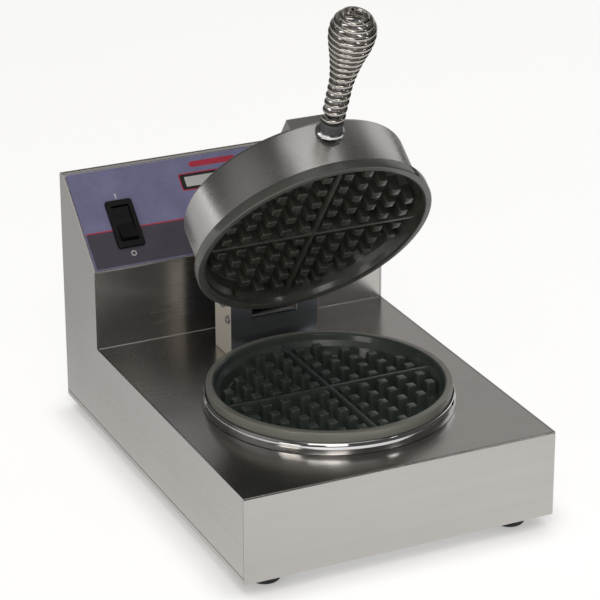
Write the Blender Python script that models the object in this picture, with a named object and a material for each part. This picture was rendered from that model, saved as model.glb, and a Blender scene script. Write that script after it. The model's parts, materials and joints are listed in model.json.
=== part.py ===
"""Countertop baker with one round deep-pocket grid, hinged lid and coil handle.

Standalone Blender 4.5 script. Lengths are millimetres in the constants and metres in the meshes.
The part's frame: X to the right, Y from front to back, Z up, origin under the middle of the box.
"""

from math import atan2, cos, hypot, pi, radians, sin

import bmesh
import bpy
from mathutils import Matrix, Vector

MM = 0.001          # metres in a millimetre
GAP = 0.3           # clearance between pieces that touch

# Shell of folded stainless sheet, measured from the front apron and the shell's lower edge
WIDTH = 260.0
SHEET = 1.2
DECK_Z = 70.9       # deck height
RISER_Y = 293.9     # where the deck meets the riser
RISER_Z = 138.3     # where the riser meets the sloping control panel
CREST_Y = 360.9     # where the slope meets the flat top strip
CREST_Z = 200.4
DEPTH = 368.5       # outer face of the rear panel
SIDE_X = WIDTH / 2
FLANGE = 34.0       # turned-in lower edge of the side panels
FOOT_HEIGHT = 10.0
FOOT_RADIUS = 12.5
FOOT_X = 104.0
FOOT_Y = (22.0, 344.0)
REAR_SCREW_X = 121.0
REAR_SCREW_Z = (34.0, 168.0)
VENT_Z = 92.0       # lowest of the rear panel's slots
VENT_PITCH = 13.0
VENT_COUNT = 6
GLAND_AT = (-78.0, DEPTH, 36.0)
GLAND_PROUD = 8.0   # how far the cord gland stands out of the rear panel

# Round grids
PLATE_Y = 127.0     # centre of the lower grid
RIM_RADIUS = 96.5
RIM_BAND = 8.6      # height of the wide rim
BODY_RADIUS = 88.9
CASTING_HEIGHT = 27.0
POCKET_DEPTH = 18.4
PIN_DROP = 5.5      # pins and ribs stop this far below the rim
PIN_PITCH = 16.5
PIN_FIRST = 9.0     # first pin from the rib's centre
PIN_TOP = 7.0
PIN_BASE = 9.6
PIN_REACH = 80.0
RIM_Z = 87.9        # lower rim plane
ROUND = 48          # facets of a large round piece

# Lid, in its own frame: origin on the hinge axis, drawn closed
HINGE_Y = 245.0
HINGE_Z = 118.0
OPEN_ANGLE = 53.46
LID_Y = PLATE_Y - HINGE_Y
LID_RIM_Z = RIM_Z + 1.0 - HINGE_Z
DRUM_RADIUS = 91.2
DRUM_TOP = LID_RIM_Z + 50.1
DRUM_BOTTOM = LID_RIM_Z + RIM_BAND
PIN_RADIUS = 4.0    # hinge pin

# Bracket on the deck and the lug between its flanges
BRACKET_X = 38.7
BRACKET_SHEET = 2.0
BRACKET_Y = (229.0, 261.0)
BRACKET_TOP = 129.0
NOTCH_X = 20.0
NOTCH_Z = 103.0
LUG_X = 19.0
STOP_Y = 234.0      # bar that the open lid's lug rests against
STOP_Z = 104.0
BRACKET_SCREW_X = (-26.0, 26.0)
BRACKET_SCREW_Y = 247.0

# Coil handle, along its own axis from the drum's wall
HANDLE_TILT = 13.4
HANDLE_OFF = 37.6
HANDLE_LENGTH = 115.5
WIRE = 3.8
COLLAR_RADIUS = 11.2
STUB_RADIUS = 9.0
STUB_TOP = 13.0
COIL_STATIONS = [   # share of the coil's length from the narrow end, radius of the wire's centre
    (0.0, 7.4), (0.33, 7.4), (0.42, 8.2), (0.50, 9.5), (0.58, 11.1), (0.67, 13.3), (0.75, 15.3), (0.83, 16.2),
    (0.90, 15.4), (0.96, 11.8), (1.0, 5.8)]
COIL_START = 162.0  # angle of the wire's lower end, degrees
WIDE_PITCH = 7.4    # between turns at the narrow end
CLOSE_PITCH = 5.6   # between turns from this share of the length on
CLOSE_FROM = 0.62

# Switch and lamp on the slope, from the riser's fold
SLOPE_ANGLE = atan2(CREST_Z - RISER_Z, CREST_Y - RISER_Y)
SLOPE_LENGTH = hypot(CREST_Y - RISER_Y, CREST_Z - RISER_Z)
CONTROL_X = 92.2
CONTROL_S = 38.4
OVERLAY_TOP = 0.8   # outer face of the overlay above the sheet
ROCKER_THROW = 18.0

LOOKS = {
    "brushed_steel": ((0.55, 0.53, 0.51), 0.32, 1.0),
    "chrome": ((0.80, 0.80, 0.80), 0.08, 1.0),
    "steel": ((0.45, 0.45, 0.46), 0.35, 1.0),
    "black_casting": ((0.030, 0.034, 0.032), 0.38, 0.3),
    "bare_casting": ((0.42, 0.42, 0.43), 0.45, 1.0),
    "rubber": ((0.02, 0.02, 0.02), 0.8, 0.0),
    "overlay": ((0.15, 0.13, 0.21), 0.45, 0.0),
    "black_plastic": ((0.012, 0.012, 0.013), 0.25, 0.0),
    "amber_lens": ((0.75, 0.25, 0.02), 0.15, 0.0),
    "brass": ((0.70, 0.52, 0.22), 0.3, 1.0),
    "mineral_wool": ((0.72, 0.70, 0.62), 0.95, 0.0),
    "ceramic": ((0.80, 0.78, 0.72), 0.5, 0.0),
}


# ---------------------------------------------------------------- mesh helpers

def box(low, high):
    """A closed box between two corners."""
    bm = bmesh.new()
    bmesh.ops.create_cube(bm, size=1.0)
    size = [high[i] - low[i] for i in range(3)]
    middle = [(high[i] + low[i]) / 2 for i in range(3)]
    bmesh.ops.scale(bm, vec=size, verts=bm.verts)
    bmesh.ops.translate(bm, vec=middle, verts=bm.verts)
    return bm


def prism(outline, x_low, x_high):
    """A (y, z) outline extruded along X."""
    bm = bmesh.new()
    face = bm.faces.new([bm.verts.new((x_low, y, z)) for y, z in outline])
    side = bmesh.ops.extrude_face_region(bm, geom=[face])
    moved = [v for v in side["geom"] if isinstance(v, bmesh.types.BMVert)]
    bmesh.ops.translate(bm, vec=(x_high - x_low, 0, 0), verts=moved)
    return bm


def frustum(centre, z_low, half_low, z_high, half_high):
    """A block whose upper and lower rectangles differ."""
    bm = bmesh.new()
    corners = ((-1, -1), (1, -1), (1, 1), (-1, 1))
    rings = []
    for z, half in ((z_low, half_low), (z_high, half_high)):
        rings.append([bm.verts.new((centre[0] + i * half[0], centre[1] + j * half[1], z))
                      for i, j in corners])
    bm.faces.new(rings[0][::-1])
    bm.faces.new(rings[1])
    for i in range(4):
        j = (i + 1) % 4
        bm.faces.new((rings[0][i], rings[0][j], rings[1][j], rings[1][i]))
    return bm


def turned(profile, segments=ROUND):
    """A (radius, z) profile turned about Z. A profile that starts and ends at radius 0 is capped flat."""
    bm = bmesh.new()
    solid = profile[0][0] == 0 and profile[-1][0] == 0
    points = profile[1:-1] if solid else profile
    rings = []
    for radius, z in points:
        ring = []
        for i in range(segments):
            angle = 2 * pi * i / segments
            ring.append(bm.verts.new((radius * cos(angle), radius * sin(angle), z)))
        rings.append(ring)
    pairs = list(zip(rings, rings[1:]))
    if not solid:
        pairs.append((rings[-1], rings[0]))
    for lower, upper in pairs:
        for i in range(segments):
            j = (i + 1) % segments
            bm.faces.new((lower[i], lower[j], upper[j], upper[i]))
    if solid:
        bm.faces.new(rings[0])
        bm.faces.new(rings[-1])
    return bm


def cylinder(radius, low, high, segments=24):
    return turned([(0, low), (radius, low), (radius, high), (0, high)], segments)


def tube(path, radius, sides=8):
    """A round bar that follows a list of points, with flat ends."""
    bm = bmesh.new()
    points = [Vector(p) for p in path]
    rings = []
    side = Vector((0, 0, 1))
    for i, point in enumerate(points):
        ahead = points[min(i + 1, len(points) - 1)]
        behind = points[max(i - 1, 0)]
        along = (ahead - behind).normalized()
        if abs(along.dot(side)) > 0.95:
            side = Vector((0, 1, 0))
        side = (side - along * along.dot(side)).normalized()
        across = along.cross(side)
        ring = []
        for k in range(sides):
            angle = 2 * pi * k / sides
            ring.append(bm.verts.new(point + radius * (cos(angle) * side + sin(angle) * across)))
        rings.append(ring)
    for lower, upper in zip(rings, rings[1:]):
        for k in range(sides):
            j = (k + 1) % sides
            bm.faces.new((lower[k], lower[j], upper[j], upper[k]))
    bm.faces.new(rings[0][::-1])
    bm.faces.new(rings[-1])
    return bm


def placed(bm, location=(0, 0, 0), turn_x=0.0, turn_y=0.0):
    """Turns a mesh about X and Y, in degrees, then moves it."""
    turn = Matrix.Rotation(radians(turn_y), 4, "Y") @ Matrix.Rotation(radians(turn_x), 4, "X")
    bmesh.ops.transform(bm, matrix=Matrix.Translation(location) @ turn, verts=bm.verts)
    return bm


def gathered(parts):
    """Several closed shapes in one mesh, for a tool that cuts or adds them all."""
    whole = bmesh.new()
    for part in parts:
        scratch = bpy.data.meshes.new("scratch")
        bmesh.ops.recalc_face_normals(part, faces=part.faces)
        part.to_mesh(scratch)
        part.free()
        whole.from_mesh(scratch)
        bpy.data.meshes.remove(scratch)
    return whole


def folded(path, thickness):
    """The outline of a sheet bent along a path of (y, z) points, thickened to its right side."""
    points = [Vector(p) for p in path]
    normals = []
    for start, end in zip(points, points[1:]):
        along = (end - start).normalized()
        normals.append(Vector((along.y, -along.x)))
    inner = []
    for i, point in enumerate(points):
        before = normals[max(i - 1, 0)]
        after = normals[min(i, len(normals) - 1)]
        mitre = before + after
        inner.append(point + mitre * (2 * thickness / mitre.length_squared))
    return [tuple(p) for p in points + inner[::-1]]


def rounded_rectangle(half_x, half_y, radius, steps=3):
    """Corner points of a rectangle with round corners."""
    outline = []
    for quarter, (i, j) in enumerate(((1, 1), (-1, 1), (-1, -1), (1, -1))):
        for k in range(steps + 1):
            angle = (quarter + k / steps) * pi / 2
            outline.append((i * (half_x - radius) + radius * cos(angle),
                            j * (half_y - radius) + radius * sin(angle)))
    return outline


def slab(outline, z_low, z_high, centre=(0, 0)):
    """An (x, y) outline extruded along Z."""
    bm = bmesh.new()
    face = bm.faces.new([bm.verts.new((centre[0] + x, centre[1] + y, z_low)) for x, y in outline])
    side = bmesh.ops.extrude_face_region(bm, geom=[face])
    moved = [v for v in side["geom"] if isinstance(v, bmesh.types.BMVert)]
    bmesh.ops.translate(bm, vec=(0, 0, z_high - z_low), verts=moved)
    return bm


# -------------------------------------------------------------- object helpers

def material_for(name, look):
    colour, roughness, metallic = LOOKS[look]
    material = bpy.data.materials.new(name)
    material.use_nodes = True
    shader = material.node_tree.nodes["Principled BSDF"]
    shader.inputs["Base Color"].default_value = (*colour, 1.0)
    shader.inputs["Roughness"].default_value = roughness
    shader.inputs["Metallic"].default_value = metallic
    return material


def piece(name, bm, parent, look):
    """One named sub-part, drawn in its parent's frame."""
    bmesh.ops.recalc_face_normals(bm, faces=bm.faces)
    mesh = bpy.data.meshes.new(name)
    bm.to_mesh(mesh)
    bm.free()
    mesh.transform(Matrix.Scale(MM, 4))
    mesh.shade_smooth()
    mesh.set_sharp_from_angle(angle=radians(32))
    obj = bpy.data.objects.new(name, mesh)
    bpy.context.scene.collection.objects.link(obj)
    obj.parent = parent
    if look:
        mesh.materials.append(material_for(name, look))
    return obj


def tool(target, bm, operation):
    """A hidden shape that is cut from its target or joined to it."""
    helper = piece(target.name + "_" + operation.lower(), bm, target.parent, None)
    helper.hide_render = True
    helper.display_type = "WIRE"
    modifier = target.modifiers.new(operation.title(), "BOOLEAN")
    modifier.operation = operation
    modifier.object = helper
    modifier.solver = "EXACT"
    return target


def cut(target, *shapes):
    return tool(target, gathered(shapes), "DIFFERENCE")


def add(target, *shapes):
    return tool(target, gathered(shapes), "UNION")


def empty(name, parent, location=(0, 0, 0), turn_x=0.0):
    obj = bpy.data.objects.new(name, None)
    bpy.context.scene.collection.objects.link(obj)
    obj.parent = parent
    obj.location = Vector(location) * MM
    obj.rotation_euler = (radians(turn_x), 0, 0)
    return obj


def screw(name, parent, location, turn_x=0.0, turn_y=0.0, head=3.6, shank=2.0, length=8.0, look="steel"):
    """A pan-head screw. Its head stands along +Z before it is turned."""
    rise = head * 0.62
    profile = [(0, -length), (shank, -length), (shank, 0), (head, 0), (head, rise * 0.5),
               (head * 0.72, rise), (0, rise)]
    return piece(name, placed(turned(profile, 8), location, turn_x, turn_y), parent, look)


def screw_hole(location, turn_x=0.0, turn_y=0.0, radius=2.4, reach=6.0):
    return placed(cylinder(radius, -reach, reach, 8), location, turn_x, turn_y)


# ----------------------------------------------------------------------- shell

def slope_point(x, s, n):
    """A point on the control slope: across, up the slope, out of it."""
    return (x, RISER_Y + s * cos(SLOPE_ANGLE) - n * sin(SLOPE_ANGLE),
            RISER_Z + s * sin(SLOPE_ANGLE) + n * cos(SLOPE_ANGLE))


def make_shell(base):
    slope_degrees = SLOPE_ANGLE * 180 / pi
    fold = [(12, 0), (0, 0), (0, DECK_Z), (RISER_Y, DECK_Z), (RISER_Y, RISER_Z), (CREST_Y, CREST_Z),
            (DEPTH - 1.5, CREST_Z), (DEPTH - 1.5, CREST_Z - 12)]
    cover = piece("main_cover", prism(folded(fold, SHEET), -SIDE_X, SIDE_X), base, "brushed_steel")
    sides = [box((s * (SIDE_X - 1.5), 1.5, -5), (s * (SIDE_X + 5), DEPTH + 5, CREST_Z + 5)) for s in (-1, 1)]
    plate_hole = placed(cylinder(97.3, DECK_Z - 5, DECK_Z + 5, ROUND), (0, PLATE_Y, 0))
    switch_hole = placed(box((-9.8, -19.3, -6), (9.8, 19.3, 6)),
                         slope_point(-CONTROL_X, CONTROL_S, 0), slope_degrees)
    lamp_hole = placed(cylinder(6.0, -6, 6, 16), slope_point(CONTROL_X, CONTROL_S, 0), slope_degrees)
    mounting = [screw_hole((x, BRACKET_SCREW_Y, DECK_Z)) for x in BRACKET_SCREW_X]
    cut(cover, *sides, plate_hole, switch_hole, lamp_hole, *mounting)

    for name, s in (("left", -1), ("right", 1)):
        web = [(1.5, 0), (DEPTH - 1.5, 0), (DEPTH - 1.5, CREST_Z), (CREST_Y, CREST_Z),
               (RISER_Y, RISER_Z), (RISER_Y, DECK_Z), (1.5, DECK_Z)]
        inner, outer = sorted((s * (SIDE_X - SHEET), s * SIDE_X))
        panel = piece("side_panel_" + name, prism(web, inner, outer), base, "brushed_steel")
        lower = sorted((s * (SIDE_X - FLANGE), s * (SIDE_X - SHEET / 2)))
        rear = sorted((s * (SIDE_X - 14), s * (SIDE_X - SHEET / 2)))
        add(panel, box((lower[0], 13, 0), (lower[1], DEPTH - 14, SHEET)),
            box((rear[0], DEPTH - 1.5 - SHEET, 16), (rear[1], DEPTH - 1.5, CREST_Z - 20)))
        holes = [screw_hole((s * FOOT_X, y, 0), radius=3.0) for y in FOOT_Y]
        holes += [screw_hole((s * REAR_SCREW_X, DEPTH, z), turn_x=90) for z in REAR_SCREW_Z]
        cut(panel, *holes)

    rear = piece("rear_panel", box((-SIDE_X, DEPTH - SHEET, 0), (SIDE_X, DEPTH, CREST_Z)), base,
                 "brushed_steel")
    slots = [placed(slab(rounded_rectangle(32, 2.2, 2.2, 1), -5, 5), (0, DEPTH, VENT_Z + VENT_PITCH * i),
                    turn_x=90)
             for i in range(VENT_COUNT)]
    corners = [screw_hole((s * REAR_SCREW_X, DEPTH, z), turn_x=90) for s in (-1, 1) for z in REAR_SCREW_Z]
    cut(rear, *slots, *corners, placed(cylinder(9.3, -5, 5, 16), GLAND_AT, turn_x=90))

    pan = piece("bottom_pan", box((-126, 3, SHEET + GAP), (126, DEPTH - 4, 2 * SHEET + GAP)), base, "steel")
    cut(pan, *[screw_hole((s * FOOT_X, y, 0), radius=3.0) for s in (-1, 1) for y in FOOT_Y])
    for i, (s, z) in enumerate([(s, z) for s in (-1, 1) for z in REAR_SCREW_Z]):
        screw(f"rear_screw_{i + 1}", base, (s * REAR_SCREW_X, DEPTH + GAP, z), turn_x=-90)


def make_feet(base):
    profile = [(2.9, -5.5), (5.8, -5.5), (5.8, -FOOT_HEIGHT), (FOOT_RADIUS - 2.0, -FOOT_HEIGHT),
               (FOOT_RADIUS - 0.6, -FOOT_HEIGHT + 1.2), (FOOT_RADIUS, -GAP), (2.9, -GAP)]
    for end, y in zip(("front", "rear"), FOOT_Y):
        for hand, s in (("left", -1), ("right", 1)):
            place = (s * FOOT_X, y, 0)
            piece(f"foot_{end}_{hand}", placed(turned(profile, 16), place), base, "rubber")
            screw(f"foot_screw_{end}_{hand}", base, (s * FOOT_X, y, -5.5 - GAP), turn_x=180,
                  head=4.8, shank=2.4, length=13)


def make_controls(base):
    slope = empty("slope_frame", base, (0, RISER_Y, RISER_Z), SLOPE_ANGLE * 180 / pi)
    overlay = piece("control_overlay", box((-128, 1.3, GAP), (128, SLOPE_LENGTH - 1.2, OVERLAY_TOP)),
                    slope, "overlay")
    cut(overlay, box((-CONTROL_X - 9.8, CONTROL_S - 19.3, -3), (-CONTROL_X + 9.8, CONTROL_S + 19.3, 3)),
        placed(cylinder(6.0, -3, 3, 16), (CONTROL_X, CONTROL_S, 0)))

    bezel_low = OVERLAY_TOP + GAP
    bezel_top = bezel_low + 2.5
    pivot_n = -1.0
    switch = (-CONTROL_X, CONTROL_S)
    housing = piece("switch_housing", slab(rounded_rectangle(11.8, 21.7, 2.4), bezel_low, bezel_top, switch),
                    slope, "black_plastic")
    add(housing, box((switch[0] - 9.4, switch[1] - 19.0, -24),
                     (switch[0] + 9.4, switch[1] + 19.0, bezel_low + 1)))
    cut(housing, box((switch[0] - 7.7, switch[1] - 16.3, -11),
                     (switch[0] + 7.7, switch[1] + 16.3, bezel_top + 3)))
    cut(housing, placed(cylinder(1.6, -8.7, 8.7, 12), (*switch, pivot_n), turn_y=90))

    pivot = empty("rocker_pivot", slope, (*switch, pivot_n), -ROCKER_THROW / 2)
    face = [(0, 3.05), (-15.23, 5.45), (-15.7, -1.5), (-6, -6.5), (6, -6.5), (15.7, -1.5), (15.23, 5.45)]
    rocker = piece("switch_rocker", prism(face, -7.35, 7.35), pivot, "black_plastic")
    add(rocker, placed(cylinder(1.25, -8.3, 8.3, 12), turn_y=90))

    lamp = (CONTROL_X, CONTROL_S, 0)
    bezel = [(4.3, -6), (4.3, 3.0), (6.6, 3.0), (7.8, 2.0), (7.8, bezel_low), (5.6, bezel_low), (5.6, -16),
             (2.0, -16), (2.0, -6)]
    piece("lamp_bezel", placed(turned(bezel, 16), lamp), slope, "black_plastic")
    lens = [(0, -5.5), (3.9, -5.5), (3.9, 3.2), (3.0, 4.4), (1.5, 5.0), (0, 5.0)]
    piece("lamp_lens", placed(turned(lens, 12), lamp), slope, "amber_lens")


def make_rear_fittings(base):
    body = [(4.2, GLAND_PROUD), (10.5, GLAND_PROUD), (12.8, 4.0), (12.8, GAP), (8.8, GAP), (8.8, -17),
            (4.2, -17)]
    piece("cord_gland", placed(turned(body, 16), GLAND_AT, turn_x=-90), base, "black_plastic")
    hexagon = [(10.6, -4.5 - SHEET), (15.0, -4.5 - SHEET), (15.0, -GAP - SHEET), (10.6, -GAP - SHEET)]
    piece("gland_nut", placed(turned(hexagon, 6), GLAND_AT, turn_x=-90), base, "black_plastic")
    floor = 2 * SHEET + 2 * GAP
    block = piece("terminal_block", box((-98, 312, floor), (-58, 330, floor + 15)), base, "ceramic")
    cut(block, *[placed(cylinder(2.2, -12, 12, 10), (-90 + 12 * i, 321, floor + 9), turn_x=90)
                 for i in range(3)])


# ----------------------------------------------------------------------- grids

def pin_centres():
    """One pin on each square of the grid, in the four quarters between the ribs."""
    steps = [PIN_FIRST + PIN_PITCH * i for i in range(5)]
    return [(i * x, j * y) for x in steps for y in steps if hypot(x, y) <= PIN_REACH
            for i in (-1, 1) for j in (-1, 1)]


def grid_casting(name, frame, look):
    """Round casting with a raised rim, tapered pins and a cross of ribs, its rim plane at Z 0."""
    profile = [(0, -CASTING_HEIGHT), (BODY_RADIUS, -CASTING_HEIGHT), (BODY_RADIUS, -RIM_BAND),
               (RIM_RADIUS, -RIM_BAND), (RIM_RADIUS, -0.8), (RIM_RADIUS - 0.8, 0), (91.4, 0), (90.0, -1.2),
               (88.7, -PIN_DROP), (86.0, -10), (83.5, -POCKET_DEPTH), (0, -POCKET_DEPTH)]
    casting = piece(name, turned(profile), frame, look)
    sink = POCKET_DEPTH + 1.6
    foot = PIN_BASE / 2 + 0.16
    pins = [frustum(c, -sink, (foot, foot), -PIN_DROP, (PIN_TOP / 2, PIN_TOP / 2)) for c in pin_centres()]
    add(casting, *pins)
    ribs = (((85.5, 3.9), (89.6, 1.1), PIN_DROP), ((3.9, 85.5), (1.1, 89.6), PIN_DROP + 0.05))
    for low, high, drop in ribs:
        add(casting, frustum((0, 0), -sink - drop / 10, low, -drop, high))
    cut(casting, *[screw_hole((x, y, -CASTING_HEIGHT), reach=5.5) for x, y in stud_circle()])


def stud_circle():
    """Two screws across the casting hold the heat shield to it."""
    return [(-79, 0), (79, 0)]


def heater_pack(prefix, frame, shield_depth, pad_depth, legs):
    """Element, insulation and heat shield behind a casting, drawn below its back face."""
    back = -CASTING_HEIGHT
    wire = 3.5
    level = back - GAP - wire
    radius = 58.0
    arc = [(radius * cos(radians(a)), radius * sin(radians(a)), level) for a in range(102, 439, 24)]
    first, last = Vector(arc[0]), Vector(arc[-1])
    down = [(0, 0, -z) for z in ((1.5, 5.5, legs) if legs else (0,))]
    out = Vector((0, 4, 0))
    path = [first + out + Vector(d) for d in down[::-1]] + arc + [last + out + Vector(d) for d in down]
    piece(prefix + "_element", tube(path, wire, 6), frame, "steel")

    leg_holes = [(first.x, first.y + 4), (last.x, last.y + 4)]
    pad_top = level - wire - GAP
    pad = [(20, pad_top - pad_depth), (68, pad_top - pad_depth), (68, pad_top), (20, pad_top)]
    insulation = piece(prefix + "_insulation", turned(pad, 24), frame, "mineral_wool")
    floor = back - shield_depth
    dish = [(22, floor), (72, floor), (72, back - GAP - 1), (84, back - GAP - 1), (84, back - GAP),
            (71, back - GAP), (71, floor + 1), (22, floor + 1)]
    shield = piece(prefix + "_heat_shield", turned(dish, 24), frame, "steel")
    if legs:
        cut(insulation, *[screw_hole((x, y, floor), radius=5.5, reach=40) for x, y in leg_holes])
        cut(shield, *[screw_hole((x, y, floor), radius=5.5, reach=8) for x, y in leg_holes])
    cut(shield, *[screw_hole((x, y, back), reach=3.5) for x, y in stud_circle()])
    for name, (x, y) in zip(("left", "right"), stud_circle()):
        screw(f"{prefix}_shield_screw_{name}", frame, (x, y, back - GAP * 2 - 1), turn_x=180, length=6.4)


def make_lower_plate(base):
    frame = empty("lower_grid_frame", base, (0, PLATE_Y, RIM_Z))
    grid_casting("lower_grid", frame, "black_casting")
    ring = [(97.0, DECK_Z + GAP), (99.4, DECK_Z + GAP), (99.6, 76.0), (99.2, 78.2), (98.2, 79.6),
            (97.0, 80.1)]
    piece("trim_ring", placed(turned(ring), (0, PLATE_Y, 0)), base, "chrome")
    heater_pack("lower", frame, shield_depth=24, pad_depth=11, legs=26)
    top = RIM_Z - CASTING_HEIGHT - GAP
    body = [(0, top - 16), (11, top - 16), (11, top - 4), (13, top - 4), (13, top), (0, top)]
    piece("thermostat", placed(turned(body, 16), (0, PLATE_Y, 0)), base, "bare_casting")


# ---------------------------------------------------------------- hinge and lid

def make_bracket(base):
    low = DECK_Z + GAP
    front, rear = BRACKET_Y
    bracket = piece("hinge_bracket", box((-BRACKET_X, front, low), (BRACKET_X, rear, BRACKET_TOP)), base,
                    "brushed_steel")
    inside = BRACKET_X - BRACKET_SHEET
    stop_holes = [screw_hole((s * BRACKET_X, STOP_Y, STOP_Z), turn_y=90) for s in (-1, 1)]
    pin_hole = placed(cylinder(PIN_RADIUS + GAP, -BRACKET_X - 5, BRACKET_X + 5, 16), (0, HINGE_Y, HINGE_Z),
                      turn_y=90)
    cut(bracket,
        box((-inside, front + BRACKET_SHEET, low + BRACKET_SHEET), (inside, rear + 5, BRACKET_TOP + 5)))
    cut(bracket, box((-NOTCH_X, front - 5, NOTCH_Z), (NOTCH_X, front + 5, BRACKET_TOP + 5)), pin_hole,
        *stop_holes, *[screw_hole((x, BRACKET_SCREW_Y, low), reach=4) for x in BRACKET_SCREW_X])
    for name, x in zip(("left", "right"), BRACKET_SCREW_X):
        screw(f"bracket_screw_{name}", base, (x, BRACKET_SCREW_Y, DECK_Z - SHEET - GAP), turn_x=180,
              length=6.5)

    reach = inside - GAP
    bar = cylinder(2.4, -reach, reach, 12)
    piece("lid_stop_bar", placed(bar, (0, STOP_Y, STOP_Z), turn_y=90), base, "steel")
    for name, s in (("left", -1), ("right", 1)):
        screw(f"stop_screw_{name}", base, (s * (BRACKET_X + GAP), STOP_Y, STOP_Z), turn_y=s * 90,
              head=3.4, length=BRACKET_SHEET + GAP * 0.5)
        bore = PIN_RADIUS + GAP
        clip = turned([(bore, 0), (7.0, 0), (7.0, 1.2), (bore, 1.2)], 12)
        piece(f"pin_clip_{name}", placed(clip, (s * (BRACKET_X + GAP), HINGE_Y, HINGE_Z), turn_y=s * 90),
              base, "steel")
        long = inside - LUG_X - 2 * GAP
        sleeve = turned([(bore, 0), (7.5, 0), (7.5, long), (bore, long)], 12)
        piece(f"hinge_spacer_{name}", placed(sleeve, (s * (LUG_X + GAP), HINGE_Y, HINGE_Z), turn_y=s * 90),
              base, "brass")
    pin = [(0, -BRACKET_X - 3.5), (PIN_RADIUS - 0.6, -BRACKET_X - 3.5), (PIN_RADIUS, -BRACKET_X - 2.9),
           (PIN_RADIUS, BRACKET_X + 2.9), (PIN_RADIUS - 0.6, BRACKET_X + 3.5), (0, BRACKET_X + 3.5)]
    piece("hinge_pin", placed(turned(pin, 16), (0, HINGE_Y, HINGE_Z), turn_y=90), base, "steel")


def make_lid(base):
    lid = empty("lid_hinge", base, (0, HINGE_Y, HINGE_Z), -OPEN_ANGLE)
    frame = empty("upper_grid_frame", lid, (0, LID_Y, LID_RIM_Z), 180)
    grid_casting("upper_grid", frame, "black_casting")
    heater_pack("upper", frame, shield_depth=15, pad_depth=5, legs=0)

    wall = SHEET
    top = DRUM_TOP
    outline = [(0, top), (DRUM_RADIUS - 2.8, top), (DRUM_RADIUS - 0.8, top - 0.9), (DRUM_RADIUS, top - 3.0),
               (DRUM_RADIUS, DRUM_BOTTOM + GAP), (DRUM_RADIUS - wall, DRUM_BOTTOM + GAP),
               (DRUM_RADIUS - wall, top - 3.0), (DRUM_RADIUS - 3.0, top - wall), (0, top - wall)]
    housing = piece("upper_housing", placed(turned(outline), (0, LID_Y, 0)), lid, "brushed_steel")
    arm_screws = [(0, y, top) for y in (-50, -86)]
    handle_turn = 90 - HANDLE_TILT
    root = (0, LID_Y - DRUM_RADIUS, LID_RIM_Z + HANDLE_OFF)
    cut(housing, placed(cylinder(3.6, -12, 12, 16), root, handle_turn), *[screw_hole(p) for p in arm_screws])

    lug_low = top + GAP
    lug_high = lug_low + 10.5
    side = [(-100, lug_low), (-100, lug_high), (-6, lug_high), (11, 14), (13, -6), (8.8, -16.7), (4.0, -13.1),
            (-6, -9), (-26, 12), (-26, lug_low)]
    lug = piece("hinge_lug", prism(side, -LUG_X, LUG_X), lid, "bare_casting")
    cut(lug, placed(cylinder(PIN_RADIUS + GAP, -LUG_X - 5, LUG_X + 5, 16), turn_y=90),
        *[screw_hole((0, y, lug_high), reach=16, radius=2.9) for _, y, _ in arm_screws])
    cover_top = lug_high + GAP + SHEET
    cover = piece("arm_cover", box((-23.5, LID_Y - 80, lug_low), (23.5, -30, cover_top)), lid,
                  "brushed_steel")
    cut(cover, box((-22.3, LID_Y - 80 + SHEET, lug_low - 5), (22.3, -20, cover_top - SHEET)))
    cut(cover, *[screw_hole((0, y, cover_top), radius=2.9, reach=4) for _, y, _ in arm_screws])
    for name, (_, y, _) in zip(("rear", "front"), arm_screws):
        screw(f"arm_screw_{name}", lid, (0, y, cover_top + GAP), head=4.6, shank=2.2, length=15.5)
    make_handle(lid, root, handle_turn)


def coil_radius(t):
    """Radius of the coil's wire centre, from the narrow end at t 0 to the tip at t 1."""
    for (t0, r0), (t1, r1) in zip(COIL_STATIONS, COIL_STATIONS[1:]):
        if t <= t1:
            u = (t - t0) / (t1 - t0)
            return r0 + (r1 - r0) * u
    return COIL_STATIONS[-1][1]


def coil_path(low, high, per_turn=9):
    """Points along the wire. Turns are wide apart at the narrow end and close together at the tip."""
    steps = 400
    profile = [(coil_radius(i / steps), low + (high - low) * i / steps) for i in range(steps + 1)]
    turns = [0.0]
    for (r0, z0), (r1, z1) in zip(profile, profile[1:]):
        share = (z0 - low) / (high - low)
        pitch = WIDE_PITCH - (WIDE_PITCH - CLOSE_PITCH) * min(1.0, share / CLOSE_FROM)
        turns.append(turns[-1] + hypot(r1 - r0, z1 - z0) / pitch)
    count = int(turns[-1] * per_turn)
    path = []
    k = 0
    for i in range(count + 1):
        want = turns[-1] * i / count
        while k < steps - 1 and turns[k + 1] < want:
            k += 1
        u = (want - turns[k]) / (turns[k + 1] - turns[k])
        radius = profile[k][0] + (profile[k + 1][0] - profile[k][0]) * u
        z = profile[k][1] + (profile[k + 1][1] - profile[k][1]) * u
        angle = 2 * pi * want + radians(COIL_START)
        path.append((radius * cos(angle), radius * sin(angle), z))
    return path


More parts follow.
